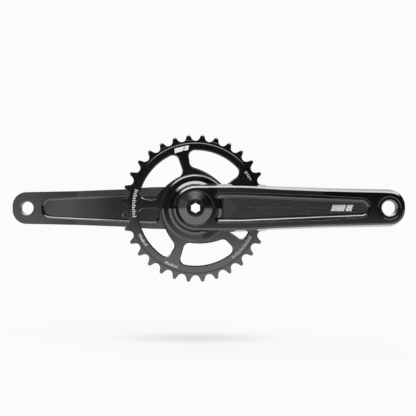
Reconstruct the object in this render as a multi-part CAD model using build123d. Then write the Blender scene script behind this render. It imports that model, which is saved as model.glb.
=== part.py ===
"""Bicycle crankset: two arms on a splined 30 mm spindle, with a direct-mount 32-tooth chainring.

The spindle lies along Y, with its middle at the origin.  The drive side is at -Y and its arm points
along +X; the non-drive arm points along -X.  "Outboard" distances are measured from the bicycle's
centre plane towards the side that a piece is on, and grow towards the pedal.
"""
from build123d import *
from math import atan2, cos, degrees, pi, radians, sin, sqrt, tan
import os

# ---------------------------------------------------------------- driving dimensions (mm)
CRANK_LENGTH = 170.0            # spindle axis to pedal axis
JOURNAL_R = 15.0                # 30 mm spindle
SEAT_R = 14.8                   # outboard of the journal, under the spacer and the arms
JOURNAL_HALF = 46.0             # bare journal each side of the centre plane, for the bearings
SPINDLE_SHOULDER = 53.0         # outboard place where the spline starts
SPINDLE_END = 63.8
SPINDLE_BORE_R = 12.2
SPINDLE_LEAD_IN = 1.3           # chamfer at each end of the spindle
SPLINE_TEETH = 20
SPLINE_ROOT_R = 13.2
SPLINE_TIP_R = 14.3
RUNNING = 0.06                  # radial clearance of pieces that slide or turn on each other

# arm, seen from the side of the bicycle
BOSS_FACE_R = 17.9
BOSS_EDGE_R = 19.5              # outside of the boss chamfer
BOSS_CHAMFER = 1.9              # its height
BOSS_FOOT_R = 21.6              # foot of the boss's tapered wall
BOSS_SPREAD = 2.5               # the drive-side boss ends in a 45 degree foot of this width
EDGE_CHAMFER = 1.3
WAIST_START = 40.0              # the arm narrows between these two places
WAIST_END = 76.0
TAPER_END = 163.0
# half-widths of the bar at the axle, at each end of the waist and where the taper ends
BACK_HALVES = (21.5, 21.5, 19.8, 18.6)
FRONT_HALVES = (17.25, 18.2, 16.9, 14.5)
WAIST_EASE = 0.36               # how far the waist's curve stands off the taper it runs into
BACK_OVERHANG = 17.3            # bar's end past the pedal axis, with its corner radius
BACK_CORNER_R = 16.2
FRONT_OVERHANG = 13.5
FRONT_CORNER_R = 12.6
BOSS_FLAT_END = 19.0            # the outer face rises from here ...
OUTER_FLAT_START = 112.0        # ... to here, and is flat on to the pedal
INNER_RISE_START = 31.0
INNER_FLAT_START = 119.0

# arm, outboard places
BOSS_FACE = 73.5
PEDAL_FACE = 85.0
PEDAL_BACK = 72.0
ARM_BACK = 60.0                 # inner face of the bar beside the boss
LOWER_PLANE = 60.0              # the bar's tapered sides are drawn at these two heights
UPPER_PLANE = 85.0
BOLT_SEAT = 64.5

# drive-side flange, which carries the chainring
FLANGE_R = 29.9
FLANGE_FRONT = 61.0
FLANGE_BACK = 57.0
FLANGE_CHAMFER = 1.2
HUB_R = 19.94
DRIVE_HUB_BACK = 48.0

# non-drive hub, with the thread for the preload collar
NOSE_R = 18.0
NOSE_BACK = 51.0
NONDRIVE_BOSS_BACK = 57.0
NONDRIVE_TRIM = 0.4             # the non-drive arm is this much slimmer on each side
NONDRIVE_END_TRIM = 1.0

# pockets milled in the arm's faces
OUTER_FLOOR_NEAR = 70.25        # outboard height of the outer pocket's floor, 30 mm from the axle
OUTER_FLOOR_RISE = 0.0896       # per millimetre along the arm
OUTER_POCKET_DRAFT = 0.21
OUTER_POCKET_NEAR_R = 20.6      # its near end is an arc about the spindle
OUTER_POCKET_HALF = 12.2
OUTER_POCKET_END = 153.4
OUTER_POCKET_END_HALF = 7.4
OUTER_POCKET_END_R = 6.6
POCKET_CORNER_R = 4.2
POCKET_BEND_R = 200.0           # where the outer pocket's straight sides start to taper
INNER_POCKET_DEPTH = 3.0
# the inner pocket's side, as (distance along the arm, half-width)
INNER_POCKET_SIDE = ((36.0, 16.0), (47.0, 15.9), (80.0, 14.2), (126.0, 12.1), (155.4, 10.4))
INNER_POCKET_NEAR_R = 6.0
INNER_POCKET_END_R = 8.5
INNER_POCKET_BEND = 30.0        # the floor's bend reaches this far each side of where the face goes flat
OUTER_FLOOR_ROUND = 4.0
INNER_FLOOR_ROUND = 3.0

# pedal end
PEDAL_THREAD_R = 6.9            # 9/16 inch by 20 threads per inch, mean wall radius
PEDAL_SPOTFACE_R = 10.0
PEDAL_SPOTFACE_DEPTH = 0.6
PEDAL_CHAMFER = 0.6

# chainring
TEETH = 32
CHAIN_PITCH = 12.7
TOOTH_TIP_R = 66.6
ROLLER_SEAT_R = 4.05
FLANK_LEAN = 25.0               # degrees
CHAINLINE = 52.0
WIDE_TOOTH = 3.6
NARROW_TOOTH = 2.2
RIM_STEP_R = 58.8
RIM_FRONT = 54.5
RING_BORE_R = 20.0
RING_HUB_R = 30.6
RING_BLANK_R = 70.0
WEB_BACK = 51.2                 # back of the spokes, between the hub and this radius
WEB_EDGE_R = 53.4
SPOKES = 5
SPOKE_ANGLE = 30.2              # first spoke, degrees from +X towards +Z
SPOKE_LEAD = 7.0                # spoke edges, degrees each side of that line
SPOKE_TRAIL = 4.8
WINDOW_OUTER_R = 52.1
WINDOW_INNER_R = 31.9
WINDOW_INNER_ARC_R = 56.9       # the window's inner edge opens out on this radius
WINDOW_LOW_POINT = 16.0         # degrees past the spoke, where that edge is nearest the spindle
WINDOW_CORNER_R = 5.4
WINDOW_CHAMFER = 0.9

RING_BOLTS = 3
RING_BOLT_CIRCLE_R = 25.0
RING_BOLT_R = 2.5
RING_BOLT_HEAD_R = 4.2
RING_BOLT_SEAT = 52.0
RING_BOLT_HEAD = 2.4            # head thickness, with its edge chamfer and hex socket
RING_BOLT_HEAD_CHAMFER = 0.8
RING_BOLT_HEX = 3.0
RING_BOLT_TIP = 60.2

# crank bolts and what holds them
DRIVE_KEY_HEX = 8.0             # across flats, right through the drive-side crank bolt
NONDRIVE_KEY_HEX = 10.0         # and through the other one
EXTRACTOR_HEX = 12.0
BOLT_THREAD_R = 10.0
BOLT_TIP = 46.0
BOLT_HEAD_R = 12.8
BOLT_HEAD_THICKNESS = 3.5
BOLT_EDGE = 0.5
WASHER_R = 13.6
WASHER_THICKNESS = 1.0
WASHER_GAP = 0.02
FRICTION_WASHER_BORE_R = 7.6
FRICTION_WASHER_R = 12.6
FRICTION_WASHER_THICKNESS = 0.8
EXTRACTOR_R = 15.5
EXTRACTOR_BACK = 70.1
EXTRACTOR_FRONT = 73.4          # at the socket; the face falls from there to the rim
EXTRACTOR_FALL = 0.4
EXTRACTOR_MOUTH_R = 7.9         # the socket's countersink
EXTRACTOR_MOUTH_DEPTH = 1.0

# bearing side of the arms
SPACER_R = 20.0
COLLAR_R = 22.6
COLLAR_BACK = 48.0
COLLAR_FRONT = 55.2
COLLAR_LIP = 1.2
COLLAR_SLOT = 1.8
COLLAR_NOTCHES = 12
COLLAR_NOTCH_R = 1.6
COLLAR_EDGE = 0.6
COLLAR_BORE_R = 15.4
LUG_HALF = 7.0
LUG_TOP = 28.5
LUG_FOOT = 20.5
LUG_CORNER_R = 2.2
PINCH_Z = 25.2
PINCH_R = 1.5
PINCH_HEAD_R = 2.7
PINCH_HEAD = 2.6
PINCH_HEX_R = 1.45
ORING_SECTION_R = 0.48
ORING_PLACE = 51.9
ORING_GROOVE_HALF = 0.6


# ---------------------------------------------------------------- drawing helpers
def plane_at(outboard):
    """Drawing plane across the spindle on the drive side: X along the arm, Y upwards."""
    return Plane(origin=(0, -outboard, 0), x_dir=(1, 0, 0), z_dir=(0, -1, 0))


def turned(profile):
    """Solid of revolution about the spindle, from (radius, outboard) points."""
    points = [(radius, -outboard, 0) for radius, outboard in profile]
    face = make_face(Polyline(*points, close=True))
    return revolve(face, Axis.Y, 360)


def disc(radius, inner, outer):
    """Round bar about the spindle between two outboard places."""
    return extrude(plane_at(inner) * Circle(radius), outer - inner)


def tube(bore_r, outer_r, inner, outer):
    return disc(outer_r, inner, outer) - disc(bore_r, inner - 1, outer + 1)


def hex_bar(across_flats, inner, outer):
    """Hexagonal bar about the spindle, with corners up and down."""
    corner_r = across_flats / sqrt(3)
    return extrude(plane_at(inner) * RegularPolygon(corner_r, 6, rotation=30), outer - inner)


def bar_between(profile, half_height):
    """Straight bar along Z whose section is given by (distance along the arm, outboard) points."""
    face = make_face(Polyline(*[(x, -outboard, 0) for x, outboard in profile], close=True))
    return extrude(face, half_height, dir=(0, 0, 1), both=True)


def other_side(solid):
    """The same piece on the non-drive side, for an arm that points the other way."""
    return Rot(0, 0, 180) * solid


# ---------------------------------------------------------------- spindle
def spline_section(clearance):
    """Toothed outline of the spindle's end, or of the arm's bore when grown by a clearance."""
    pitch = 360 / SPLINE_TEETH
    root_half = 0.30 * pitch + degrees(clearance / SPLINE_ROOT_R) * 0.5
    tip_half = 0.20 * pitch + degrees(clearance / SPLINE_TIP_R) * 0.5
    root = SPLINE_ROOT_R + clearance
    tip = SPLINE_TIP_R + clearance
    points = []
    for tooth in range(SPLINE_TEETH):
        middle = tooth * pitch
        for radius, offset in ((root, -root_half), (tip, -tip_half), (tip, tip_half), (root, root_half)):
            angle = radians(middle + offset)
            points.append((radius * cos(angle), radius * sin(angle)))
    return make_face(Polyline(*points, close=True))


def spindle():
    body = disc(SEAT_R, -SPINDLE_SHOULDER, SPINDLE_SHOULDER)
    body += disc(JOURNAL_R, -JOURNAL_HALF, JOURNAL_HALF)
    body -= disc(SPINDLE_BORE_R, -SPINDLE_SHOULDER - 1, SPINDLE_SHOULDER + 1)
    thread_start = BOLT_TIP - 2.2
    end = extrude(plane_at(SPINDLE_SHOULDER) * spline_section(0), SPINDLE_END - SPINDLE_SHOULDER)
    end += tube(BOLT_THREAD_R + RUNNING, SPINDLE_BORE_R, thread_start, SPINDLE_SHOULDER)
    end -= disc(BOLT_THREAD_R + RUNNING, SPINDLE_SHOULDER - 1, SPINDLE_END + 1)
    mouth_r = SPLINE_TIP_R - SPINDLE_LEAD_IN
    end -= turned([
        (mouth_r, SPINDLE_END), (mouth_r, SPINDLE_END + 1), (SPLINE_TIP_R + 1, SPINDLE_END + 1),
        (SPLINE_TIP_R + 1, SPINDLE_END - SPINDLE_LEAD_IN), (SPLINE_TIP_R, SPINDLE_END - SPINDLE_LEAD_IN),
    ])
    groove_r = SEAT_R - 2 * ORING_SECTION_R - 0.02
    groove = tube(groove_r, SEAT_R + 1, ORING_PLACE - ORING_GROOVE_HALF, ORING_PLACE + ORING_GROOVE_HALF)
    body = body - groove - other_side(groove)
    return body + end + other_side(end)


# ---------------------------------------------------------------- arms
def bar_outline(outboard, halves, trim, end_x, corner_r):
    """Outline of the bar at one height: straight, then narrowing, then a long taper to the pedal."""
    root, waist, waist_end, tip = [half - trim for half in halves]
    length = WAIST_END - WAIST_START
    narrowing = Bezier(
        (WAIST_START, waist),
        (WAIST_START + 0.4 * length, waist),
        (WAIST_END - 0.4 * length, waist_end + WAIST_EASE),
        (WAIST_END, waist_end),
    )
    slope = (tip - waist_end) / (TAPER_END - WAIST_END)
    end_half = tip + slope * (end_x - TAPER_END)
    upper = [
        Line((0, root), (WAIST_START, waist)),
        narrowing,
        Line((WAIST_END, waist_end), (end_x, end_half)),
    ]
    lower = [mirror(edge, Plane.XZ) for edge in upper]
    ends = [Line((end_x, end_half), (end_x, -end_half)), Line((0, root), (0, -root))]
    face = make_face(upper + lower + ends)
    corners = face.vertices().sort_by(Axis.X)[-2:]
    return plane_at(outboard) * fillet(corners, corner_r)


def bar(trim, end_trim):
    """The arm's bar with tapered sides, a rising outer face and chamfered outer edges."""
    back_end = CRANK_LENGTH + BACK_OVERHANG - end_trim
    front_end = CRANK_LENGTH + FRONT_OVERHANG - end_trim
    low = bar_outline(LOWER_PLANE, BACK_HALVES, trim, back_end, BACK_CORNER_R - trim)
    high = bar_outline(UPPER_PLANE, FRONT_HALVES, trim, front_end, FRONT_CORNER_R - trim)
    sides = loft([low, high], ruled=True)
    far = CRANK_LENGTH + 30
    side_view = [
        (-1, ARM_BACK), (INNER_RISE_START, ARM_BACK), (INNER_FLAT_START, PEDAL_BACK), (far, PEDAL_BACK),
        (far, PEDAL_FACE), (OUTER_FLAT_START, PEDAL_FACE), (BOSS_FLAT_END, BOSS_FACE), (-1, BOSS_FACE),
    ]
    blank = sides & bar_between(side_view, 40)
    outer_faces = [f for f in blank.faces() if f.normal_at().Y < -0.9]
    outer_edges = []
    for face in outer_faces:
        for edge in face.edges():
            middle = edge.position_at(0.5)
            along_z = abs(edge.tangent_at(0.5).Z) > 0.99
            if not along_z or middle.X > CRANK_LENGTH:
                outer_edges.append(edge)
    return chamfer(outer_edges, EDGE_CHAMFER)


def outer_pocket():
    """Cutter for the long pocket in the outer face; its floor rises towards the pedal."""
    floor_angle = atan2(OUTER_FLOOR_RISE, 1)
    floor_at_axle = OUTER_FLOOR_NEAR - 30 * OUTER_FLOOR_RISE
    height = 14.0

    def outline(lift):
        grow = lift * OUTER_POCKET_DRAFT
        near_r = OUTER_POCKET_NEAR_R - grow
        side_half = OUTER_POCKET_HALF + grow
        end_x = OUTER_POCKET_END + grow
        end_half = OUTER_POCKET_END_HALF + grow
        corner_z = side_half - POCKET_CORNER_R
        corner_x = sqrt((near_r + POCKET_CORNER_R)**2 - corner_z**2)
        scale = near_r / (near_r + POCKET_CORNER_R)
        arc_end = (corner_x * scale, corner_z * scale)
        middle = pi * 0.75 + atan2(corner_z, corner_x) / 2
        corner_middle = (corner_x + POCKET_CORNER_R * cos(middle), corner_z + POCKET_CORNER_R * sin(middle))
        upper = [
            ThreePointArc(arc_end, corner_middle, (corner_x, side_half)),
            Line((corner_x, side_half), (WAIST_START, side_half)),
            Line((WAIST_START, side_half), (end_x, end_half)),
        ]
        lower = [mirror(edge, Plane.XZ) for edge in upper]
        near = ThreePointArc(arc_end, (near_r, 0), (arc_end[0], -arc_end[1]))
        far = Line((end_x, end_half), (end_x, -end_half))
        face = make_face(upper + lower + [near, far])
        face = fillet(face.vertices().sort_by(Axis.X)[-2:], OUTER_POCKET_END_R + grow)
        bends = [v for v in face.vertices() if abs(v.X - WAIST_START) < 0.01]
        return fillet(bends, POCKET_BEND_R)

    normal = Vector(-sin(floor_angle), -cos(floor_angle), 0)
    base = Vector(0, -floor_at_axle, 0)
    faces = []
    along = (cos(floor_angle), -sin(floor_angle), 0)
    for lift in (0, height):
        plane = Plane(origin=base + normal * lift, x_dir=along, z_dir=normal)
        faces.append(plane * outline(lift))
    cutter = loft(faces, ruled=True)
    floor = cutter.faces().sort_by(Axis.Y)[-1]
    return fillet(floor.edges(), OUTER_FLOOR_ROUND)


def inner_pocket(trim):
    """Cutter for the pocket in the inner face; its floor follows that face in a gentle bend."""
    side = Spline(*[(x, half - trim) for x, half in INNER_POCKET_SIDE])
    outline = make_face([
        side,
        mirror(side, Plane.XZ),
        Line(side @ 1, ((side @ 1).X, -(side @ 1).Y)),
        Line(side @ 0, ((side @ 0).X, -(side @ 0).Y)),
    ])
    outline = fillet(outline.vertices().sort_by(Axis.X)[-2:], INNER_POCKET_END_R)
    outline = fillet(outline.vertices().sort_by(Axis.X)[:2], INNER_POCKET_NEAR_R)
    prism = extrude(plane_at(ARM_BACK - 5) * outline, 30)
    rise = (PEDAL_BACK - ARM_BACK) / (INNER_FLAT_START - INNER_RISE_START)
    start_x = BOSS_FLAT_END
    start_o = ARM_BACK + (start_x - INNER_RISE_START) * rise + INNER_POCKET_DEPTH
    flat_o = PEDAL_BACK + INNER_POCKET_DEPTH
    open_o = ARM_BACK - 10
    bend_in = (INNER_FLAT_START - INNER_POCKET_BEND, -(flat_o - INNER_POCKET_BEND * rise))
    bend_out = (INNER_FLAT_START + INNER_POCKET_BEND, -flat_o)
    section = make_face([
        Line((start_x, -start_o), bend_in),
        Bezier(bend_in, (INNER_FLAT_START, -flat_o), bend_out),
        Line(bend_out, (CRANK_LENGTH, -flat_o)),
        Line((CRANK_LENGTH, -flat_o), (CRANK_LENGTH, -open_o)),
        Line((CRANK_LENGTH, -open_o), (start_x, -open_o)),
        Line((start_x, -open_o), (start_x, -start_o)),
    ])
    cutter = prism & extrude(section, 40, dir=(0, 0, 1), both=True)
    middle_x = (INNER_POCKET_SIDE[0][0] + INNER_POCKET_SIDE[-1][0]) / 2
    floor_edges = []
    for face in cutter.faces():
        if face.normal_at().Y > -0.9:
            continue
        for edge in face.edges():
            across = abs(edge.tangent_at(0.5).Z) > 0.99
            at_bend = abs(edge.position_at(0.5).X - middle_x) < 50
            if not (across and at_bend):
                floor_edges.append(edge)
    return fillet(floor_edges, INNER_FLOOR_ROUND)


def pedal_hole():
    """Cutter for the pedal thread, its chamfers and the spot-face around its mouth."""
    place = Pos(CRANK_LENGTH, 0, 0)
    hole = disc(PEDAL_THREAD_R, PEDAL_BACK - 1, PEDAL_FACE + 1)
    hole += disc(PEDAL_SPOTFACE_R, PEDAL_FACE - PEDAL_SPOTFACE_DEPTH, PEDAL_FACE + 1)
    mouth = PEDAL_FACE - PEDAL_SPOTFACE_DEPTH
    hole += turned([
        (0, mouth), (PEDAL_THREAD_R + PEDAL_CHAMFER, mouth), (PEDAL_THREAD_R, mouth - PEDAL_CHAMFER),
        (0, mouth - PEDAL_CHAMFER),
    ])
    hole += turned([
        (0, PEDAL_BACK), (PEDAL_THREAD_R + PEDAL_CHAMFER, PEDAL_BACK),
        (PEDAL_THREAD_R, PEDAL_BACK + PEDAL_CHAMFER), (0, PEDAL_BACK + PEDAL_CHAMFER),
    ])
    return place * hole


def boss(foot, spread):
    """The round boss about the spindle, down to an outboard place where its foot spreads at 45 degrees."""
    return turned([
        (0, BOSS_FACE), (BOSS_FACE_R, BOSS_FACE), (BOSS_EDGE_R, BOSS_FACE - BOSS_CHAMFER),
        (BOSS_FOOT_R, foot + BOSS_SPREAD), (BOSS_FOOT_R + spread, foot), (0, foot),
    ])


def spindle_bore(hub_back):
    """Cutter for the stepped bore: seat, spline and bolt counterbore."""
    cut = disc(SEAT_R + RUNNING, hub_back - 1, SPINDLE_SHOULDER)
    cut += extrude(plane_at(SPINDLE_SHOULDER) * spline_section(RUNNING), BOLT_SEAT - SPINDLE_SHOULDER)
    cut += disc(EXTRACTOR_R + 0.02, BOLT_SEAT, BOSS_FACE + 1)
    return cut


def drive_arm():
    flange = turned([
        (0, FLANGE_BACK), (FLANGE_R, FLANGE_BACK), (FLANGE_R, FLANGE_FRONT - FLANGE_CHAMFER),
        (FLANGE_R - FLANGE_CHAMFER, FLANGE_FRONT), (0, FLANGE_FRONT),
    ])
    arm = bar(0, 0) + boss(FLANGE_FRONT, BOSS_SPREAD) + flange
    arm += disc(HUB_R, DRIVE_HUB_BACK, FLANGE_BACK)
    arm = arm - spindle_bore(DRIVE_HUB_BACK) - outer_pocket() - inner_pocket(0) - pedal_hole()
    for place in ring_bolt_places():
        arm -= place * disc(RING_BOLT_R, FLANGE_BACK - 1, RING_BOLT_TIP + 0.3)
    return arm


def nondrive_arm():
    arm = bar(NONDRIVE_TRIM, NONDRIVE_END_TRIM) + boss(NONDRIVE_BOSS_BACK, 0)
    arm += disc(NOSE_R, NOSE_BACK, NONDRIVE_BOSS_BACK)
    arm = arm - spindle_bore(NOSE_BACK) - outer_pocket() - inner_pocket(NONDRIVE_TRIM) - pedal_hole()
    return other_side(arm)


# ---------------------------------------------------------------- chainring
def polar(radius, angle):
    return (radius * cos(radians(angle)), radius * sin(radians(angle)))


def tooth_outline():
    """Closed outline of the toothed edge: roller seats, straight flanks and round tips."""
    pitch_r = CHAIN_PITCH / 2 / sin(pi / TEETH)
    lean = radians(FLANK_LEAN)
    flank_x = pitch_r - ROLLER_SEAT_R * sin(lean)
    flank_y = ROLLER_SEAT_R * cos(lean)
    tip_y = flank_y + (TOOTH_TIP_R - flank_x) * tan(lean)
    flank = (sqrt(flank_x**2 + flank_y**2), degrees(atan2(flank_y, flank_x)))
    tip = (TOOTH_TIP_R, degrees(atan2(tip_y, TOOTH_TIP_R)))
    seat_r = pitch_r - ROLLER_SEAT_R
    step = 360 / TEETH
    edges = []
    for gap in range(TEETH):
        middle = gap * step
        low = polar(flank[0], middle - flank[1])
        high = polar(flank[0], middle + flank[1])
        tip_start = polar(tip[0], middle + tip[1])
        tip_end = polar(tip[0], middle + step - tip[1])
        tip_top = polar(TOOTH_TIP_R + 0.25, middle + step / 2)
        next_low = polar(flank[0], middle + step - flank[1])
        edges.append(ThreePointArc(low, polar(seat_r, middle), high))
        edges.append(Line(high, tip_start))
        edges.append(ThreePointArc(tip_start, tip_top, tip_end))
        edges.append(Line(tip_end, next_low))
    return make_face(edges)


def window_outline():
    """One window between two spokes: radial sides, round corners and an inner edge that opens out."""
    lead = SPOKE_ANGLE + SPOKE_LEAD
    trail = SPOKE_ANGLE + 360 / SPOKES - SPOKE_TRAIL
    low_point = SPOKE_ANGLE + WINDOW_LOW_POINT
    offset = WINDOW_INNER_ARC_R - WINDOW_INNER_R

    def inner_edge(angle):
        turn = radians(angle - low_point)
        return -offset * cos(turn) + sqrt(WINDOW_INNER_ARC_R**2 - (offset * sin(turn))**2)

    middle = (lead + trail) / 2
    corners = [
        polar(inner_edge(lead), lead), polar(WINDOW_OUTER_R, lead),
        polar(WINDOW_OUTER_R, trail), polar(inner_edge(trail), trail),
    ]
    face = make_face([
        Line(corners[0], corners[1]),
        ThreePointArc(corners[1], polar(WINDOW_OUTER_R, middle), corners[2]),
        Line(corners[2], corners[3]),
        ThreePointArc(corners[3], polar(inner_edge(middle), middle), corners[0]),
    ])
    return fillet(face.vertices(), WINDOW_CORNER_R)


def tooth_thinning():
    """Cutters that make every other tooth narrow and bevel the tips of all of them, on both faces."""
    step = 360 / TEETH
    foot_r = 61.3
    bevel_r = 65.3
    outer_r = TOOTH_TIP_R + 2
    bevel_rise = (outer_r - bevel_r) * tan(radians(30))
    clear = WIDE_TOOTH + 0.4
    cutters = []
    for tooth in range(TEETH):
        narrow = tooth % 2 == 0
        thin = (NARROW_TOOTH if narrow else WIDE_TOOTH) / 2
        profile = [
            (foot_r, thin), (bevel_r, thin), (outer_r, thin - bevel_rise), (outer_r, clear),
            (foot_r, clear),
        ]
        if not narrow:
            profile = profile[1:4]
        for side in (1, -1):
            points = [(radius, -(CHAINLINE + side * depth), 0) for radius, depth in profile]
            block = extrude(make_face(Polyline(*points, close=True)), clear, dir=(0, 0, 1), both=True)
            cutters.append(Rot(0, -(tooth + 0.5) * step, 0) * block)
    return cutters


def chainring():
    front = CHAINLINE + WIDE_TOOTH / 2
    back = CHAINLINE - WIDE_TOOTH / 2
    inboard = back - 10
    section = turned([
        (RING_BORE_R, back), (RING_HUB_R, back), (RING_HUB_R + 0.3, WEB_BACK),
        (WEB_EDGE_R, WEB_BACK), (WEB_EDGE_R + 0.7, back), (RING_BLANK_R, back), (RING_BLANK_R, front),
        (RIM_STEP_R + 0.2, front), (RIM_STEP_R - 0.5, RIM_FRONT), (RING_HUB_R, RIM_FRONT),
        (RING_HUB_R, FLANGE_BACK), (RING_BORE_R, FLANGE_BACK),
    ])
    ring = section & extrude(plane_at(inboard) * tooth_outline(), 25)
    window = extrude(plane_at(inboard) * window_outline(), 25)
    for spoke in range(SPOKES):
        ring -= Rot(0, -spoke * 360 / SPOKES, 0) * window
    for place, width in ((RIM_FRONT, WINDOW_CHAMFER), (WEB_BACK, WINDOW_CHAMFER * 0.6)):
        rims = [edge for edge in ring.edges() if window_edge(edge, place)]
        ring = chamfer(rims, width)
    ring = ring - tooth_thinning()
    for place in ring_bolt_places():
        ring -= place * disc(RING_BOLT_R + 0.1, inboard, FLANGE_BACK + 1)
        ring -= place * disc(RING_BOLT_HEAD_R + 0.4, inboard, RING_BOLT_SEAT)
    return ring


def window_edge(edge, outboard):
    """True for an edge of a window that lies at this outboard place."""
    middle = edge.position_at(0.5)
    radius = sqrt(middle.X**2 + middle.Z**2)
    at_place = abs(middle.Y + outboard) < 0.01 and abs((edge @ 0).Y + outboard) < 0.01
    between = WINDOW_INNER_R - 0.3 < radius < WINDOW_OUTER_R + 0.3
    return at_place and between


def ring_bolt_places():
    places = []
    for number in range(RING_BOLTS):
        x, z = polar(RING_BOLT_CIRCLE_R, 90 + 360 / RING_BOLTS * number)
        places.append(Pos(x, 0, z))
    return places


def ring_bolt():
    head_top = RING_BOLT_SEAT - RING_BOLT_HEAD
    bolt = disc(RING_BOLT_R, RING_BOLT_SEAT, RING_BOLT_TIP)
    bolt += turned([
        (0, RING_BOLT_SEAT), (RING_BOLT_HEAD_R, RING_BOLT_SEAT),
        (RING_BOLT_HEAD_R, head_top + RING_BOLT_HEAD_CHAMFER),
        (RING_BOLT_HEAD_R - RING_BOLT_HEAD_CHAMFER, head_top), (0, head_top),
    ])
    return bolt - hex_bar(RING_BOLT_HEX, head_top - 1, RING_BOLT_SEAT - 0.6)


# ---------------------------------------------------------------- crank bolts and extraction
def crank_bolt(key_hex):
    seat = BOLT_SEAT + WASHER_THICKNESS + WASHER_GAP
    head_top = seat + BOLT_HEAD_THICKNESS
    bolt = turned([
        (0, BOLT_TIP), (BOLT_THREAD_R - 1, BOLT_TIP), (BOLT_THREAD_R, BOLT_TIP + 1), (BOLT_THREAD_R, seat),
        (BOLT_HEAD_R, seat), (BOLT_HEAD_R, head_top - BOLT_EDGE), (BOLT_HEAD_R - BOLT_EDGE, head_top),
        (0, head_top),
    ])
    return bolt - hex_bar(key_hex, BOLT_TIP - 1, head_top + 1)


def bolt_washer():
    return tube(BOLT_THREAD_R + 0.3, WASHER_R, BOLT_SEAT, BOLT_SEAT + WASHER_THICKNESS)


def friction_washer():
    inner = EXTRACTOR_BACK - FRICTION_WASHER_THICKNESS
    return tube(FRICTION_WASHER_BORE_R, FRICTION_WASHER_R, inner, EXTRACTOR_BACK)


def extractor_ring():
    rim = EXTRACTOR_FRONT - EXTRACTOR_FALL
    mouth = EXTRACTOR_FRONT - EXTRACTOR_MOUTH_DEPTH
    mouth_floor_r = EXTRACTOR_MOUTH_R - EXTRACTOR_MOUTH_DEPTH
    ring = turned([
        (0, EXTRACTOR_BACK), (EXTRACTOR_R, EXTRACTOR_BACK), (EXTRACTOR_R, rim - BOLT_EDGE),
        (EXTRACTOR_R - BOLT_EDGE, rim), (EXTRACTOR_MOUTH_R, EXTRACTOR_FRONT),
        (mouth_floor_r, mouth), (0, mouth),
    ])
    return ring - hex_bar(EXTRACTOR_HEX, EXTRACTOR_BACK - 1, EXTRACTOR_FRONT + 1)


# ---------------------------------------------------------------- bearing side
def drive_spacer():
    return tube(JOURNAL_R + 0.1, SPACER_R - 0.6, JOURNAL_HALF, DRIVE_HUB_BACK)


def thrust_washer():
    return other_side(tube(JOURNAL_R + RUNNING, SPACER_R, JOURNAL_HALF, COLLAR_BACK - 0.02))


def oring():
    centre_r = SEAT_R - ORING_SECTION_R - 0.01
    section = Plane.XY * Pos(centre_r, -ORING_PLACE) * Circle(ORING_SECTION_R)
    return revolve(section, Axis.Y, 360)


def preload_collar():
    """Split ring on the non-drive hub's thread; turning it takes up the bearings' play."""
    middle = (COLLAR_BACK + COLLAR_FRONT) / 2
    bore_r = NOSE_R + RUNNING
    lip = COLLAR_BACK + COLLAR_LIP
    collar = turned([
        (COLLAR_BORE_R, COLLAR_BACK), (COLLAR_R - COLLAR_EDGE, COLLAR_BACK),
        (COLLAR_R, COLLAR_BACK + COLLAR_EDGE),
        (COLLAR_R, COLLAR_FRONT - COLLAR_EDGE), (COLLAR_R - COLLAR_EDGE, COLLAR_FRONT),
        (bore_r, COLLAR_FRONT), (bore_r, lip), (COLLAR_BORE_R, lip),
    ])
    notch = extrude(plane_at(COLLAR_BACK - 1) * Pos(COLLAR_R + 0.5, 0) * Circle(COLLAR_NOTCH_R), 10)
    for number in range(COLLAR_NOTCHES):
        angle = 360 / COLLAR_NOTCHES * (number + 0.5)
        if abs(angle - 90) > 25:
            collar -= Rot(0, -angle, 0) * notch
    lug = Pos(0, -middle, (LUG_TOP + LUG_FOOT) / 2) * Box(
        2 * LUG_HALF, COLLAR_FRONT - COLLAR_BACK - 0.8, LUG_TOP - LUG_FOOT)
    collar += fillet(lug.edges().filter_by(Axis.Y).sort_by(Axis.Z)[-2:], LUG_CORNER_R)
    slot_foot = COLLAR_BORE_R - 1
    slot_top = LUG_TOP + 1
    collar -= Pos(0, -middle, (slot_top + slot_foot) / 2) * Box(COLLAR_SLOT, 20, slot_top - slot_foot)
    across = Plane(origin=(0, -middle, PINCH_Z), z_dir=(1, 0, 0))
    collar -= extrude(across * Circle(PINCH_R + 0.05), LUG_HALF + 1, both=True)
    return other_side(collar)


def preload_pinch_bolt():
    middle = (COLLAR_BACK + COLLAR_FRONT) / 2
    under_head = Plane(origin=(LUG_HALF, -middle, PINCH_Z), z_dir=(1, 0, 0))
    bolt = extrude(under_head * Circle(PINCH_R), -(2 * LUG_HALF - 1))
    head = extrude(under_head * Circle(PINCH_HEAD_R), PINCH_HEAD)
    bolt += fillet(head.edges().sort_by(Axis.X)[-1], 0.5)
    bolt -= extrude(under_head * Pos(0, 0, 1.0) * RegularPolygon(PINCH_HEX_R, 6), PINCH_HEAD)
    return other_side(bolt)


# ---------------------------------------------------------------- all nodes
def build():
    nodes = {
        "spindle": spindle(),
        "drive_arm": drive_arm(),
        "nondrive_arm": nondrive_arm(),
        "chainring": chainring(),
        "drive_spacer": drive_spacer(),
        "thrust_washer": thrust_washer(),
        "preload_collar": preload_collar(),
        "preload_pinch_bolt": preload_pinch_bolt(),
        "drive_oring": oring(),
        "nondrive_oring": other_side(oring()),
        "drive_crank_bolt": crank_bolt(DRIVE_KEY_HEX),
        "nondrive_crank_bolt": other_side(crank_bolt(NONDRIVE_KEY_HEX)),
    }
    for number, place in enumerate(ring_bolt_places(), start=1):
        nodes[f"chainring_bolt_{number}"] = place * ring_bolt()
    fastening = {
        "bolt_washer": bolt_washer,
        "friction_washer": friction_washer,
        "extractor_ring": extractor_ring,
    }
    for name, make in fastening.items():
        nodes[f"drive_{name}"] = make()
        nodes[f"nondrive_{name}"] = other_side(make())
    return nodes


os.makedirs("parts", exist_ok=True)
for node_name, shape in build().items():
    export_step(shape, f"parts/{node_name}.step")
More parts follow.
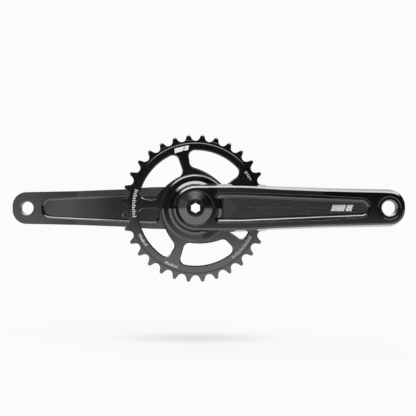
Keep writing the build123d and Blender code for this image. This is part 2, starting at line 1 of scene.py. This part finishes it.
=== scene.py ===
"""Looks of the bicycle crankset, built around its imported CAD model.

Metres, in the frame of the model: the spindle lies along Y with the drive side at -Y, and the drive-side
arm points along +X.  "Outboard" is the distance from the bicycle's centre plane.
"""
import math

import bpy
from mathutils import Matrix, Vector


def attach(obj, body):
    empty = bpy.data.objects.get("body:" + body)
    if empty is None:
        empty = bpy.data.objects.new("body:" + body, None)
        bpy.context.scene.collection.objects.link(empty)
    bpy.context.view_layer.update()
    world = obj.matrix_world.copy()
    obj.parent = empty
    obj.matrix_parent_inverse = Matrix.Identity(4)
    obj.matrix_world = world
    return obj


MM = 0.001
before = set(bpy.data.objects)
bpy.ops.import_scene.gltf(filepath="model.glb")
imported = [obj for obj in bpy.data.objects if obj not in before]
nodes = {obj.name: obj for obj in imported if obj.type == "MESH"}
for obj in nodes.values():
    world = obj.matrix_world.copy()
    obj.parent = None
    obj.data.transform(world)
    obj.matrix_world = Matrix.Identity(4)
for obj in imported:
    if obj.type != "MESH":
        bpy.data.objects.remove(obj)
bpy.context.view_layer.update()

# ---------------------------------------------------------------- measures taken from the model (mm)
CRANK_LENGTH = 170.0
PEDAL_FACE = 85.0
PEDAL_BACK = 72.0
PEDAL_THREAD_R = 6.9
THREAD_PITCH = 1.27
FLOOR_NEAR = 70.25              # outboard height of the outer pocket's floor, 30 mm along the arm
FLOOR_RISE = 0.0896
INNER_FLOOR_NEAR = 63.0         # outboard height of the inner pocket's floor where the arm starts to rise
INNER_RISE_START = 31.0
INNER_RISE = 0.1364
POCKET_START = 27.0
POCKET_HALF = 11.0
POCKET_TAPER = 0.042            # the floor's half-width falls by this per millimetre along the arm
RIM_FRONT = 54.5
RIM_STEP_R = 58.8
MARK_RADIUS = 55.5
FLOOR_DATUM = 30.0              # distance along the arm at which the pocket's height and width are given
SOCKET_MOUTH_R = 7.9            # countersink of the extractor ring's socket
BOLT_DARK_R = 5.78              # the crank bolts are dark and matt within this of the axis

# ---------------------------------------------------------------- finish
ARM_LEVEL = 0.128               # reflectance of the anodised arms
POCKET_DROP = 0.052             # the outer pocket's floor reflects this much less, and is this much rougher
POCKET_ROUGHER = 0.20
CUTTER_PITCH = 1.15             # milling passes on that floor (mm)
CUTTER_DEPTH = 0.012
CENTRE_LINE_Z = 0.2             # dashed scribe line along the floor's middle (mm)
DASH_PITCH = 8.6
DASH_GAP = 0.36                 # as a share of the pitch
INNER_PAINTED_SHADE = 0.5               # painted shade: the inner pocket's floor loses this share of its colour towards the hub, standing in for the chainring's dark reflection there
BARE_ALUMINIUM = (0.30, 0.30, 0.31, 1.0)
BARE_ROUGHER = 0.35
RING_LEVEL = 0.138
RING_PITCH = 0.55               # turning marks on the chainring (mm)
STEP_DROP = 0.55                # the wall between the ring's web and rim loses this share
GRAIN_DEPTH = 0.0006            # mm
CAP_LEAN = 0.30                 # outward slope of the turning marks' wide flanks on the extractor rings
MOUTH_DROP = 0.8                # the socket's countersink loses this share, and is this much rougher
MOUTH_ROUGHER = 0.4
GROOVE_DEPTH = 0.0003
MARK_LIFT = 0.03                # how far the white marks stand off the rim, and off the arm (mm)
ARM_MARK_LIFT = 0.04

# ---------------------------------------------------------------- studio (metres and degrees)
CAMERA_DISTANCE = 1.12
CAMERA_LENS = 102.3
CAMERA_SHIFT = 0.030
FLOOR_HEIGHT = -0.1225
FLOOR_HALF = 2.7                # beyond it the world takes over, and fades towards the horizon
WHITE = 0.965                   # linear radiance of the backdrop
FLOOR_DIFFUSE = 0.05            # the floor paper's own reflection, and the glow that evens it out
FLOOR_GLOW = 0.834
PAINTED_CONTACT_SHADE = 0.16            # painted shadow: what the glow loses in the soft shade painted under the axle
SHADE_ACROSS = 95.0             # half-width and half-depth of that shade (mm)
SHADE_DEEP = 62.0
SHADE_FORWARD = 6.0
SOFTBOX = 4.9                   # radiance of the overhead softbox, and the elevations where it fades in
SOFTBOX_LOW = 38.0
SOFTBOX_HIGH = 55.0
FRONT_LEFT = 0.055              # radiance of the dark studio on both sides of the camera
FRONT_RIGHT = 0.025
WIDE_FILL = 0.10                # weak fill on the camera's left
HORIZON_BLUR = 2.3              # degrees over which the floor fades in below the horizon


# ---------------------------------------------------------------- node helpers
class Tree:
    """Short calls for building a node tree."""

    def __init__(self, tree):
        self.tree = tree
        tree.nodes.clear()

    def add(self, kind, **settings):
        node = self.tree.nodes.new(kind)
        for name, value in settings.items():
            setattr(node, name, value)
        return node

    def feed(self, socket, value):
        if isinstance(value, bpy.types.NodeSocket):
            self.tree.links.new(value, socket)
        else:
            socket.default_value = value

    def math(self, operation, a, b=0.0, c=0.0, clamp=False):
        node = self.add("ShaderNodeMath", operation=operation, use_clamp=clamp)
        for socket, value in zip(node.inputs, (a, b, c)):
            self.feed(socket, value)
        return node.outputs[0]

    def ramp(self, value, low, high, start=0.0, end=1.0):
        """Smooth step from start to end as value goes from low to high."""
        node = self.add("ShaderNodeMapRange", interpolation_type="SMOOTHSTEP")
        for socket, number in zip(node.inputs, (value, low, high, start, end)):
            self.feed(socket, number)
        return node.outputs[0]

    def mix(self, factor, a, b):
        """Colours or numbers a and b, mixed by factor."""
        node = self.add("ShaderNodeMix", data_type="RGBA")
        self.feed(node.inputs["Factor"], factor)
        self.feed(node.inputs[6], a)
        self.feed(node.inputs[7], b)
        return node.outputs[2]

    def grey(self, level, tint=1.0):
        """A colour whose channels are this level, with blue raised by tint."""
        node = self.add("ShaderNodeCombineColor")
        self.feed(node.inputs[0], level)
        self.feed(node.inputs[1], level)
        self.feed(node.inputs[2], self.math("MULTIPLY", level, tint))
        return node.outputs[0]

    def noise(self, coordinates, scale, detail=2.0, roughness=0.5):
        node = self.add("ShaderNodeTexNoise")
        self.feed(node.inputs["Vector"], coordinates)
        node.inputs["Scale"].default_value = scale
        node.inputs["Detail"].default_value = detail
        node.inputs["Roughness"].default_value = roughness
        return node.outputs["Fac"]

    def stretched(self, coordinates, scale):
        node = self.add("ShaderNodeMapping", vector_type="POINT")
        self.feed(node.inputs["Vector"], coordinates)
        node.inputs["Scale"].default_value = scale
        return node.outputs[0]

    def place(self):
        """Object coordinates, and their x, y and z in millimetres."""
        where = self.add("ShaderNodeTexCoord").outputs["Object"]
        split = self.add("ShaderNodeSeparateXYZ")
        self.feed(split.inputs[0], where)
        return where, [self.math("MULTIPLY", axis, 1000.0) for axis in split.outputs]

    def from_axle(self, x, z):
        return self.math("SQRT", self.math("ADD", self.math("MULTIPLY", x, x), self.math("MULTIPLY", z, z)))

    def vary(self, noise, amount, base):
        """The base number, moved up and down by half the amount where the noise is 1 and 0."""
        return self.math("MULTIPLY_ADD", self.math("SUBTRACT", noise, 0.5), amount, base)

    def all_of(self, *masks):
        """The product of these masks."""
        result = masks[0]
        for mask in masks[1:]:
            result = self.math("MULTIPLY", result, mask)
        return result

    def round_edges(self, radius_mm):
        node = self.add("ShaderNodeBevel", samples=8)
        node.inputs["Radius"].default_value = radius_mm * MM
        return node.outputs[0]

    def bump(self, height, depth_mm, normal=None):
        """Normal of a surface raised by height times a depth."""
        node = self.add("ShaderNodeBump")
        node.inputs["Strength"].default_value = 1.0
        node.inputs["Distance"].default_value = depth_mm * MM
        self.feed(node.inputs["Height"], height)
        if normal is not None:
            self.feed(node.inputs["Normal"], normal)
        return node.outputs[0]

    def surface(self, colour, roughness, normal=None, **numbers):
        shader = self.add("ShaderNodeBsdfPrincipled")
        self.feed(shader.inputs["Base Color"], colour)
        self.feed(shader.inputs["Roughness"], roughness)
        for name, value in numbers.items():
            self.feed(shader.inputs[name.replace("_", " ").title().replace("Ior", "IOR")], value)
        if normal is not None:
            self.feed(shader.inputs["Normal"], normal)
        output = self.add("ShaderNodeOutputMaterial")
        self.feed(output.inputs["Surface"], shader.outputs[0])
        return shader


def new_material(name):
    material = bpy.data.materials.new(name)
    material.use_nodes = True
    return material, Tree(material.node_tree)


def dress(material, *names):
    """Gives these CAD nodes a material."""
    for name in names:
        for slot in nodes[name].material_slots:
            slot.material = material


# ---------------------------------------------------------------- materials
def arm_material(name, side, gloss):
    """Black anodised forging; side is 1 on the drive side and -1 on the other, gloss is its roughness."""
    material, t = new_material(name)
    where, (x, y, z) = t.place()
    along = t.math("MULTIPLY", x, side)
    outboard = t.math("MULTIPLY", y, -side)
    grain = t.noise(where, 5200.0, 3.0, 0.6)
    patches = t.noise(where, 34.0, 3.0, 0.55)
    strokes = t.noise(t.stretched(where, (38.0, 900.0, 900.0)), 1.0, 2.0, 0.5)

    # the outer pocket's floor is milled in passes that follow its outline
    floor = t.math("ADD", t.math("MULTIPLY", t.math("SUBTRACT", along, FLOOR_DATUM), FLOOR_RISE), FLOOR_NEAR)
    above = t.math("ABSOLUTE", t.math("SUBTRACT", outboard, floor))
    inside = t.math("MULTIPLY", t.ramp(along, 24.0, 26.0), t.ramp(along, 156.0, 154.0))
    on_floor = t.math("MULTIPLY", t.ramp(above, 0.5, 0.15), inside)
    narrowing = t.math("MULTIPLY", t.math("SUBTRACT", along, FLOOR_DATUM), POCKET_TAPER)
    half = t.math("SUBTRACT", POCKET_HALF, narrowing)
    from_side = t.math("SUBTRACT", half, t.math("ABSOLUTE", z))
    from_end = t.math("SUBTRACT", along, POCKET_START)
    passes = t.math("MINIMUM", from_side, from_end)
    cutter = t.math("SINE", t.math("MULTIPLY", passes, 2 * math.pi / CUTTER_PITCH))
    cutter = t.math("MULTIPLY_ADD", cutter, 0.5, 0.5)
    end_zone = t.ramp(t.math("SUBTRACT", from_side, from_end), -0.4, 0.4)
    dash = t.math("GREATER_THAN", t.math("FRACT", t.math("DIVIDE", along, DASH_PITCH)), DASH_GAP)
    centre = t.ramp(t.math("ABSOLUTE", t.math("SUBTRACT", z, CENTRE_LINE_Z)), 0.34, 0.16)
    line = t.all_of(centre, dash, t.ramp(along, 40.0, 42.0), t.ramp(along, 118.0, 114.0), on_floor)

    # the inner pocket's floor is darker towards the hub: painted shade standing in for the chainring's dark
    # reflection
    inner_floor = t.math("SUBTRACT", along, INNER_RISE_START)
    inner_floor = t.math("MULTIPLY_ADD", inner_floor, INNER_RISE, INNER_FLOOR_NEAR)
    on_inner = t.ramp(t.math("ABSOLUTE", t.math("SUBTRACT", outboard, inner_floor)), 1.8, 0.9)
    painted_hub_shade = t.all_of(on_inner, t.ramp(along, 108.0, 78.0))

    # bare metal in the pedal thread
    from_pedal = t.math("SQRT", t.math("ADD", t.math("POWER", t.math("SUBTRACT", along, CRANK_LENGTH), 2.0),
                                       t.math("POWER", z, 2.0)))
    bare = t.ramp(from_pedal, PEDAL_THREAD_R + 0.35, PEDAL_THREAD_R + 0.1)

    level = t.vary(patches, 0.03, ARM_LEVEL)
    level = t.vary(strokes, 0.03, level)
    level = t.math("MULTIPLY_ADD", on_floor, -POCKET_DROP, level)
    level = t.math("MULTIPLY_ADD", t.all_of(on_floor, t.math("SUBTRACT", cutter, 0.5)), 0.03, level)
    level = t.math("MULTIPLY_ADD", t.all_of(on_floor, end_zone), 0.02, level)
    level = t.math("MULTIPLY_ADD", line, 0.07, level)
    # painted shade: darkens the inner pocket's floor towards the hub
    level = t.math("MULTIPLY", level, t.math("MULTIPLY_ADD", painted_hub_shade, -INNER_PAINTED_SHADE, 1.0))
    colour = t.mix(bare, t.grey(level, 1.03), BARE_ALUMINIUM)

    roughness = t.math("MULTIPLY_ADD", grain, 0.03, gloss)
    roughness = t.vary(patches, 0.05, roughness)
    roughness = t.math("MULTIPLY_ADD", on_floor, POCKET_ROUGHER, roughness)
    roughness = t.math("MULTIPLY_ADD", bare, BARE_ROUGHER, roughness)

    normal = t.bump(grain, GRAIN_DEPTH, t.round_edges(0.45))
    normal = t.bump(t.math("MULTIPLY", cutter, on_floor), CUTTER_DEPTH, normal)
    t.surface(colour, roughness, normal, metallic=1.0)
    return material


def ring_material():
    """Black anodised plate, turned on both faces."""
    material, t = new_material("ring_black")
    where, (x, y, z) = t.place()
    radius = t.from_axle(x, z)
    grain = t.noise(where, 5600.0, 3.0, 0.6)
    patches = t.noise(where, 46.0, 3.0, 0.55)
    turned = t.math("SINE", t.math("MULTIPLY", radius, 2 * math.pi / RING_PITCH))
    level = t.vary(patches, 0.035, RING_LEVEL)
    level = t.math("MULTIPLY_ADD", turned, 0.006, level)
    step = t.math("MULTIPLY", t.ramp(radius, RIM_STEP_R - 0.6, RIM_STEP_R - 0.5),
                  t.ramp(radius, RIM_STEP_R + 0.5, RIM_STEP_R + 0.4))
    level = t.math("MULTIPLY", level, t.math("MULTIPLY_ADD", step, -STEP_DROP, 1.0))
    roughness = t.math("MULTIPLY_ADD", grain, 0.03, 0.07)
    normal = t.bump(grain, GRAIN_DEPTH, t.round_edges(0.25))
    normal = t.bump(turned, GROOVE_DEPTH, normal)
    t.surface(t.grey(level, 1.03), roughness, normal, metallic=1.0)
    return material


def turned_material(name, level, roughness, pitch, anisotropic, tint=1.0, lean=0.0, mouth_r=0.0):
    """Metal turned on a lathe about the spindle: fine circular grooves that stretch its reflections.

    The grooves' wide flanks lean outwards with this slope, and inside mouth_r the cut is dark and matt.
    """
    material, t = new_material(name)
    where, (x, y, z) = t.place()
    radius = t.from_axle(x, z)
    grooves = t.math("SINE", t.math("MULTIPLY", radius, 2 * math.pi / pitch))
    wander = t.noise(where, 90.0, 3.0, 0.6)
    fine = t.noise(where, 4800.0, 2.0, 0.6)
    shade = t.vary(wander, level * 0.25, level)
    shade = t.math("MULTIPLY_ADD", grooves, level * 0.05, shade)
    mouth = t.ramp(radius, mouth_r + 0.1, mouth_r, 0.0, 1.0)
    shade = t.math("MULTIPLY", shade, t.math("MULTIPLY_ADD", mouth, -MOUTH_DROP, 1.0))
    rough = t.vary(fine, 0.04, roughness)
    rough = t.math("MULTIPLY_ADD", mouth, MOUTH_ROUGHER, rough)
    flank = t.math("MULTIPLY", t.math("MULTIPLY", radius, -lean), t.math("SUBTRACT", 1.0, mouth))
    flank = t.math("ADD", flank, t.math("MULTIPLY", mouth, -lean * mouth_r))
    normal = t.bump(t.math("MULTIPLY_ADD", grooves, GROOVE_DEPTH, flank), 1.0, t.round_edges(0.2))
    shader = t.surface(t.grey(shade, tint), rough, normal, metallic=1.0, anisotropic=anisotropic,
                       anisotropic_rotation=0.25)
    tangent = t.add("ShaderNodeTangent", direction_type="RADIAL", axis="Y")
    t.feed(shader.inputs["Tangent"], tangent.outputs[0])
    return material


def bolt_material():
    """Blackened crank bolt: satin outside, and dark and matt in its hexagonal bore and close around it."""
    material, t = new_material("crank_bolt_steel")
    where, (x, y, z) = t.place()
    radius = t.from_axle(x, z)
    bore = t.ramp(radius, BOLT_DARK_R + 0.15, BOLT_DARK_R + 0.05)
    fine = t.noise(where, 3600.0, 3.0, 0.6)
    clouds = t.noise(where, 70.0, 3.0, 0.55)
    shade = t.vary(clouds, 0.03, t.ramp(bore, 0.0, 1.0, 0.10, 0.02))
    rough = t.vary(fine, 0.12, t.ramp(bore, 0.0, 1.0, 0.30, 0.9))
    metallic = t.math("SUBTRACT", 1.0, bore)
    t.surface(t.grey(shade), rough, t.bump(fine, 0.0015, t.round_edges(0.15)), metallic=metallic,
              specular_ior_level=0.1)
    return material


def plain_metal(name, level, roughness, tint=1.0):
    """Ground or plated steel: fine grain and faint clouding."""
    material, t = new_material(name)
    where, _ = t.place()
    fine = t.noise(where, 3600.0, 3.0, 0.6)
    clouds = t.noise(where, 70.0, 3.0, 0.55)
    shade = t.vary(clouds, level * 0.3, level)
    rough = t.vary(fine, 0.12, roughness)
    t.surface(t.grey(shade, tint), rough, t.bump(fine, 0.0015, t.round_edges(0.15)), metallic=1.0)
    return material


def polymer(name, level, roughness):
    """Moulded plastic or rubber with a fine matt texture."""
    material, t = new_material(name)
    where, _ = t.place()
    fine = t.noise(where, 2600.0, 4.0, 0.65)
    clouds = t.noise(where, 120.0, 2.0, 0.5)
    shade = t.vary(clouds, level * 0.4, level)
    rough = t.vary(fine, 0.2, roughness)
    t.surface(t.grey(shade), rough, t.bump(fine, 0.01), metallic=0.0)
    return material


def mark_material():
    """White laser marking, slightly grainy."""
    material, t = new_material("white_marking")
    where, _ = t.place()
    fine = t.noise(where, 3000.0, 3.0, 0.7)
    shade = t.vary(fine, 0.12, 0.86)
    rough = t.math("MULTIPLY_ADD", fine, 0.2, 0.45)
    t.surface(t.grey(shade), rough, t.bump(fine, 0.004), metallic=0.0)
    return material


bare_thread = plain_metal("bare_aluminium", 0.38, 0.42, 1.01)
white_marking = mark_material()
dress(arm_material("black_anodised_drive", 1.0, 0.045), "drive_arm")
dress(arm_material("black_anodised_nondrive", -1.0, 0.14), "nondrive_arm")
dress(ring_material(), "chainring")
dress(turned_material("cap_black", 0.15, 0.20, 0.32, 0.6, lean=CAP_LEAN, mouth_r=SOCKET_MOUTH_R),
      "drive_extractor_ring", "nondrive_extractor_ring")
dress(plain_metal("collar_black", 0.11, 0.26), "preload_collar")
dress(turned_material("spindle_steel", 0.16, 0.24, 0.3, 0.4), "spindle")
dress(bolt_material(), "drive_crank_bolt", "nondrive_crank_bolt")
dress(plain_metal("bolt_steel", 0.10, 0.30), "preload_pinch_bolt", "chainring_bolt_1", "chainring_bolt_2",
      "chainring_bolt_3")
dress(plain_metal("washer_steel", 0.45, 0.32), "drive_bolt_washer", "nondrive_bolt_washer")
dress(polymer("spacer_plastic", 0.035, 0.55), "drive_spacer", "thrust_washer",
      "drive_friction_washer", "nondrive_friction_washer")
dress(polymer("seal_rubber", 0.02, 0.8), "drive_oring", "nondrive_oring")


# ---------------------------------------------------------------- added pieces
def new_piece(name, points, faces, material, body, slot):
    mesh = bpy.data.meshes.new(name)
    mesh.from_pydata([Vector(p) * MM for p in points], [], faces)
    mesh.validate()
    mesh.update()
    piece = bpy.data.objects.new(name, mesh)
    bpy.context.scene.collection.objects.link(piece)
    mesh.materials.append(material)
    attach(piece, body)
    return piece


def plates(outlines, lift):
    """Thin plates from outlines of (x, y, z) points on the drive side, raised outboard by lift."""
    points, faces = [], []
    for outline in outlines:
        start, count = len(points), len(outline)
        points += [(x, y + lift, z) for x, y, z in outline]
        points += [(x, y - lift, z) for x, y, z in outline]
        faces.append([start + i for i in range(count)][::-1])
        faces.append([start + count + i for i in range(count)])
        for i in range(count):
            j = (i + 1) % count
            faces.append([start + i, start + j, start + count + j, start + count + i])
    return points, faces


def on_rim(angle_mm, height):
    """A point of the chainring's front, from a distance round the rim and a height above its middle line."""
    radius = MARK_RADIUS + height
    angle = math.radians(90.0) - angle_mm / MARK_RADIUS
    return radius * math.cos(angle), -RIM_FRONT, radius * math.sin(angle)


def rim_ticks(start_deg, end_deg, height, pitch=1.6, half=0.31):
    """A graduated scale between two angles: upright ticks, every third one tall."""
    first = math.radians(90.0 - end_deg) * MARK_RADIUS
    last = math.radians(90.0 - start_deg) * MARK_RADIUS
    count = int((last - first) / pitch)
    outlines = []
    for i in range(count + 1):
        middle = first + i * pitch
        tall = height / 2
        low = -tall if i % 3 == 0 else -tall * 0.45
        outlines.append([
            on_rim(middle - half, low), on_rim(middle + half, low),
            on_rim(middle + half, tall), on_rim(middle - half, tall),
        ])
    return outlines


def slanted(low_x, high_x, low_z, high_z, lean):
    """Corners of a bar with slanted ends."""
    return [(low_x, low_z), (high_x, low_z), (high_x + lean, high_z), (low_x + lean, high_z)]


def emblem(width, height):
    """A generic mark: a long slanted bar, and a short one after it."""
    lean = height * 0.35
    half = height / 2
    left, right = -width / 2 - lean / 2, width / 2 - lean / 2
    split = left + width * 0.68
    return [
        slanted(left, split - width * 0.03, -half, half, lean),
        slanted(split + width * 0.03, right, -half, half, lean),
    ]


# each scale's name: its two angles from +X towards +Z (degrees), and the height of its ticks (mm)
scales = {
    "rim_scale_left": (163.0, 188.0, 3.4),
    "rim_scale_low_left": (204.0, 217.0, 2.8),
    "rim_scale_bottom": (240.5, 252.5, 2.6),
    "rim_scale_low_right": (306.5, 332.0, 3.0),
    "rim_scale_right": (27.0, 35.5, 2.6),
}
for name, (start, end, height) in scales.items():
    ticks = rim_ticks(start, end, height)
    new_piece(name, *plates(ticks, MARK_LIFT), white_marking, "drive_arm", "ring_black")

rim_angle = math.radians(90.0 - 103.4) * MARK_RADIUS
outlines = [[on_rim(rim_angle + u, v - 0.8) for u, v in bar] for bar in emblem(13.2, 4.0)]
new_piece("rim_emblem", *plates(outlines, MARK_LIFT), white_marking, "drive_arm", "ring_black")


def on_floor(x, z):
    """A point of the drive arm's outer pocket floor."""
    return x, -(FLOOR_NEAR + (x - FLOOR_DATUM) * FLOOR_RISE), z


outlines = [[on_floor(129.0 + u, v) for u, v in bar] for bar in emblem(18.0, 5.4)]
new_piece("arm_emblem", *plates(outlines, ARM_MARK_LIFT), white_marking, "drive_arm", "black_anodised")


def thread_ridge(name, body, side, hand):
    """The crest of the pedal thread, wound through the arm's end."""
    steps = 40
    start, end = PEDAL_BACK + 0.7, PEDAL_FACE - 1.3
    turns = (end - start - THREAD_PITCH * 0.4) / THREAD_PITCH
    total = int(turns * steps)
    crest_r, foot_r = PEDAL_THREAD_R - 0.42, PEDAL_THREAD_R + 0.03
    profile = [(foot_r, -0.42), (crest_r, -0.08), (crest_r, 0.08), (foot_r, 0.42)]
    points, faces = [], []
    for i in range(total + 1):
        angle = 2 * math.pi * i / steps
        fade = min(1.0, i / (steps * 0.3), (total - i) / (steps * 0.3))
        outboard = start + THREAD_PITCH * 0.4 + THREAD_PITCH * i / steps
        for radius, offset in profile:
            r = foot_r + (radius - foot_r) * fade
            px = CRANK_LENGTH + r * math.cos(angle)
            pz = hand * r * math.sin(angle)
            points.append((side * px, -side * (outboard + offset), pz))
        if i:
            a, b = 4 * (i - 1), 4 * i
            for k in range(4):
                m = (k + 1) % 4
                faces.append([a + k, a + m, b + m, b + k])
    faces.append([0, 1, 2, 3])
    faces.append([4 * total + k for k in (3, 2, 1, 0)])
    piece = new_piece(name, points, faces, bare_thread, body, "black_anodised")
    for polygon in piece.data.polygons:
        polygon.use_smooth = False


thread_ridge("drive_pedal_thread_ridge", "drive_arm", 1, 1)
thread_ridge("nondrive_pedal_thread_ridge", "nondrive_arm", -1, -1)


# ---------------------------------------------------------------- floor, light and camera
def build_floor():
    mesh = bpy.data.meshes.new("floor")
    h = FLOOR_HALF
    mesh.from_pydata([(-h, -h, 0), (h, -h, 0), (h, h, 0), (-h, h, 0)], [], [(0, 1, 2, 3)])
    floor = bpy.data.objects.new("floor", mesh)
    floor.location.z = FLOOR_HEIGHT
    bpy.context.scene.collection.objects.link(floor)
    material, t = new_material("floor_paper")
    where, (x, y, _) = t.place()
    grain = t.noise(where, 900.0, 3.0, 0.6)
    shade = t.vary(grain, 0.004, FLOOR_DIFFUSE)
    across = t.math("POWER", t.math("DIVIDE", x, SHADE_ACROSS), 2.0)
    deep = t.math("POWER", t.math("DIVIDE", t.math("ADD", y, SHADE_FORWARD), SHADE_DEEP), 2.0)
    # painted shadow: a soft dark ellipse under the axle, taken off the floor's glow
    under = t.ramp(t.math("SQRT", t.math("ADD", across, deep)), 1.0, 0.0)
    glow = t.math("MULTIPLY_ADD", under, -PAINTED_CONTACT_SHADE, FLOOR_GLOW)
    t.surface(t.grey(shade), 1.0, specular_ior_level=0.0, emission_color=(1.0, 1.0, 1.0, 1.0),
              emission_strength=glow)
    mesh.materials.append(material)


def build_world():
    """A studio as light seen from far away: softbox overhead, white sweep behind and below, dark in front."""
    world = bpy.data.worlds.new("studio")
    bpy.context.scene.world = world
    world.use_nodes = True
    t = Tree(world.node_tree)
    direction = t.add("ShaderNodeTexCoord").outputs["Generated"]
    split = t.add("ShaderNodeSeparateXYZ")
    t.feed(split.inputs[0], direction)
    x, y, z = split.outputs
    elevation = t.math("DEGREES", t.math("ARCSINE", z))
    azimuth = t.math("DEGREES", t.math("ARCTAN2", x, t.math("MULTIPLY", y, -1.0)))
    turn = t.math("ABSOLUTE", azimuth)
    wide = t.all_of(t.ramp(azimuth, -5.0, -13.0), t.ramp(azimuth, -70.0, -55.0))
    front = t.math("MULTIPLY_ADD", wide, WIDE_FILL, t.ramp(azimuth, -2.0, 6.0, FRONT_LEFT, FRONT_RIGHT))
    card = t.all_of(t.ramp(turn, 96.0, 118.0), t.ramp(elevation, 3.5, 8.0),
                    t.ramp(elevation, 30.0, 8.0, 0.5, 0.9))
    upper = t.math("ADD", card, front)
    below = t.math("MULTIPLY", t.math("ADD", elevation, 0.2), -1.0 / HORIZON_BLUR, clamp=True)
    around = t.math("MAXIMUM", upper, t.math("MULTIPLY", below, WHITE))
    softbox = t.math("MULTIPLY", t.ramp(elevation, SOFTBOX_LOW, SOFTBOX_HIGH), SOFTBOX)
    light = t.math("ADD", around, softbox)
    sight = t.add("ShaderNodeLightPath").outputs["Is Camera Ray"]
    strength = t.math("ADD", t.math("MULTIPLY", sight, WHITE),
                      t.math("MULTIPLY", t.math("SUBTRACT", 1.0, sight), light))
    background = t.add("ShaderNodeBackground")
    background.inputs["Color"].default_value = (1.0, 1.0, 1.0, 1.0)
    t.feed(background.inputs["Strength"], strength)
    output = t.add("ShaderNodeOutputWorld")
    t.feed(output.inputs["Surface"], background.outputs[0])


def build_panel(name, place, width, height, radiance):
    """A tall soft panel beside the camera, close enough that its reflection fades along the arms."""
    data = bpy.data.lights.new(name, "AREA")
    data.shape = "RECTANGLE"
    data.size, data.size_y = width, height
    data.energy = radiance * math.pi * width * height
    panel = bpy.data.objects.new(name, data)
    panel.location = place
    panel.rotation_euler = (-panel.location).to_track_quat("-Z", "Y").to_euler()
    panel.visible_camera = False
    bpy.context.scene.collection.objects.link(panel)


def build_camera():
    data = bpy.data.cameras.new("camera")
    data.lens = CAMERA_LENS
    data.shift_x = CAMERA_SHIFT
    data.clip_end = 50.0
    camera = bpy.data.objects.new("camera", data)
    camera.location = (0.0, -CAMERA_DISTANCE, 0.0)
    camera.rotation_euler = (math.radians(90.0), 0.0, 0.0)
    bpy.context.scene.collection.objects.link(camera)
    bpy.context.scene.camera = camera


build_floor()
build_world()
build_panel("near_panel", (-0.35, -1.15, 0.10), 0.10, 0.70, 0.42)
build_panel("far_panel", (-0.70, -1.10, 0.10), 0.20, 0.70, 0.50)
build_camera()
bpy.context.scene.view_settings.view_transform = "Standard"
